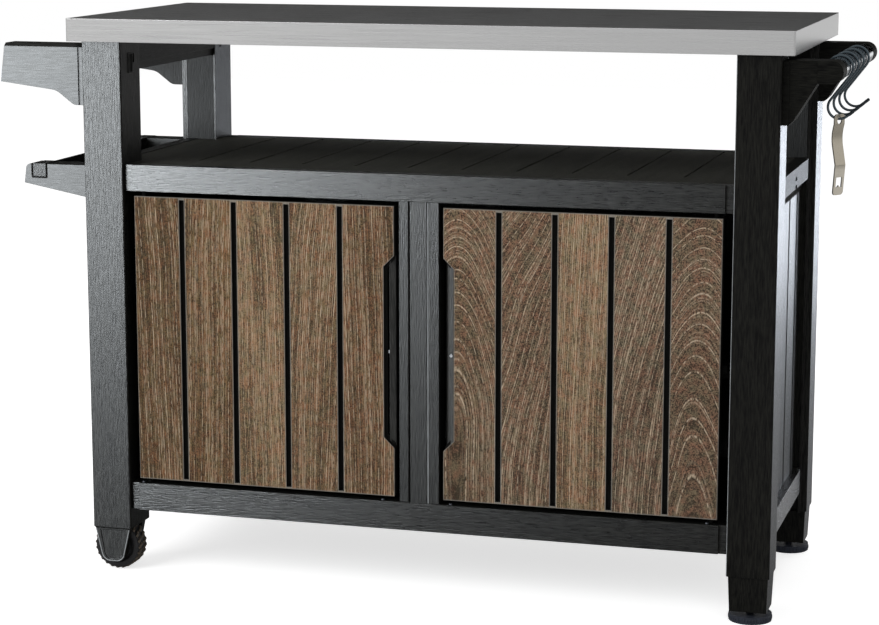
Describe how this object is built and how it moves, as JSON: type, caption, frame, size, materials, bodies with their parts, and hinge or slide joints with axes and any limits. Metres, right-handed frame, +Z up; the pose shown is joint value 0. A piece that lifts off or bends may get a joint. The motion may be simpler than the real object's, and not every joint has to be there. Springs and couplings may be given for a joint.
{
  "type": "grill cart with storage",
  "caption": "Wheeled outdoor prep cart: steel worktop over an open slatted bay and a slatted-door cabinet, with a rack, a roll rod, and a tool bar with hooks.",
  "frame": {"origin": "middle of the outer box on the floor", "axes": "+X along the worktop towards the tool bar, +Y from the doors to the back, +Z up"},
  "size_m": [1.349, 0.508, 0.9],
  "materials": {
    "steel_sheet": "fine brushed",
    "steel_tube": "polished",
    "hook_steel": "plain",
    "steel_strip": "matte",
    "axle_steel": "plain",
    "zinc_screws": "plated",
    "graphite_resin": "wood-grain relief",
    "black_resin": "fine wood-grain relief",
    "brown_resin": "wood-grain print and relief",
    "wheel_resin": "moulded"
  },
  "bodies": {
    "cart": {"back_panel_left": "graphite_resin", "back_panel_right": "graphite_resin", "back_post": "graphite_resin", "bottom_rail_front": "graphite_resin", "bottom_rail_left": "graphite_resin", "bottom_rail_rear": "graphite_resin", "bottom_rail_right": "graphite_resin", "cabinet_floor": "black_resin", "centre_post": "graphite_resin", "door_catches": "black_resin", "foot_socket_front": "graphite_resin", "foot_socket_rear": "graphite_resin", "inner_shelf_left": "black_resin", "inner_shelf_right": "black_resin", "leg_covers": "graphite_resin", "leg_front_left": "graphite_resin", "leg_front_right": "graphite_resin", "leg_rear_left": "graphite_resin", "leg_rear_right": "graphite_resin", "rack_bracket_front": "graphite_resin", "rack_bracket_rear": "graphite_resin", "rack_tray": "graphite_resin", "roll_bracket_front": "graphite_resin", "roll_bracket_rear": "graphite_resin", "shelf_deck": "black_resin", "shelf_ledges": "black_resin", "shelf_rail_front": "graphite_resin", "shelf_rail_left": "graphite_resin", "shelf_rail_rear": "graphite_resin", "shelf_rail_right": "graphite_resin", "side_panel_left": "graphite_resin", "side_panel_right": "graphite_resin", "tool_bar": "steel_tube", "tool_bracket_front": "graphite_resin", "tool_bracket_rear": "graphite_resin", "top_rail_left": "graphite_resin", "top_rail_right": "graphite_resin", "wheel_axles": "axle_steel", "wheel_fork_front": "graphite_resin", "wheel_fork_rear": "graphite_resin", "worktop": "steel_sheet", "worktop_core": "black_resin"},
    "left_door": {"left_door_front": "brown_resin", "left_door_back": "black_resin"},
    "right_door": {"right_door_front": "brown_resin", "right_door_back": "black_resin"},
    "front_wheel": {"front_wheel": "wheel_resin"},
    "rear_wheel": {"rear_wheel": "wheel_resin"},
    "hook_1": {"hook_1": "hook_steel"},
    "hook_2": {"hook_2": "hook_steel"},
    "hook_3": {"hook_3": "hook_steel"},
    "hook_4": {"hook_4": "hook_steel"},
    "bottle_opener": {"bottle_opener": "steel_strip"},
    "front_foot": {"front_foot": "wheel_resin"},
    "rear_foot": {"rear_foot": "wheel_resin"},
    "roll_bar": {"roll_bar": "black_resin"},
    "rack_rail": {"rack_rail": "graphite_resin"}
  },
  "joints": [
    {"name": "left_door_hinge", "type": "hinge", "parent": "cart", "child": "left_door", "pos_m": [-0.432, -0.2225, 0.39015], "axis": [0, 0, -1], "range_deg": [0, 110]},
    {"name": "right_door_hinge", "type": "hinge", "parent": "cart", "child": "right_door", "pos_m": [0.487, -0.2225, 0.39015], "axis": [0, 0, 1], "range_deg": [0, 110]},
    {"name": "front_wheel_axle", "type": "hinge", "parent": "cart", "child": "front_wheel", "pos_m": [-0.493, -0.2065, 0.04], "axis": [0, 1, 0], "continuous": true},
    {"name": "rear_wheel_axle", "type": "hinge", "parent": "cart", "child": "rear_wheel", "pos_m": [-0.493, 0.2065, 0.04], "axis": [0, 1, 0], "continuous": true},
    {"name": "hook_1_swing", "type": "hinge", "parent": "cart", "child": "hook_1", "pos_m": [0.65175, -0.123, 0.83875], "axis": [0, 1, 0], "range_deg": [-45, 14]},
    {"name": "hook_2_swing", "type": "hinge", "parent": "cart", "child": "hook_2", "pos_m": [0.65175, -0.053, 0.83875], "axis": [0, 1, 0], "range_deg": [-45, 14]},
    {"name": "hook_3_swing", "type": "hinge", "parent": "cart", "child": "hook_3", "pos_m": [0.65175, 0.017, 0.83875], "axis": [0, 1, 0], "range_deg": [-45, 14]},
    {"name": "hook_4_swing", "type": "hinge", "parent": "cart", "child": "hook_4", "pos_m": [0.65175, 0.087, 0.83875], "axis": [0, 1, 0], "range_deg": [-45, 14]},
    {"name": "opener_swing", "type": "hinge", "parent": "hook_1", "child": "bottle_opener", "pos_m": [0.65175, -0.123, 0.76225], "axis": [1, 0, 0], "range_deg": [-20, 20]},
    {"name": "front_foot_screw", "type": "slide", "parent": "cart", "child": "front_foot", "axis": [0, 0, 1], "range_m": [-0.012, 0]},
    {"name": "rear_foot_screw", "type": "slide", "parent": "cart", "child": "rear_foot", "axis": [0, 0, 1], "range_m": [-0.012, 0]},
    {"name": "roll_bar_spin", "type": "hinge", "parent": "cart", "child": "roll_bar", "pos_m": [-0.644, 0, 0.824], "axis": [0, 1, 0], "continuous": true},
    {"name": "rack_rail_lift", "type": "slide", "parent": "cart", "child": "rack_rail", "axis": [0, 0, 1], "range_m": [0, 0.024]}
  ]
}
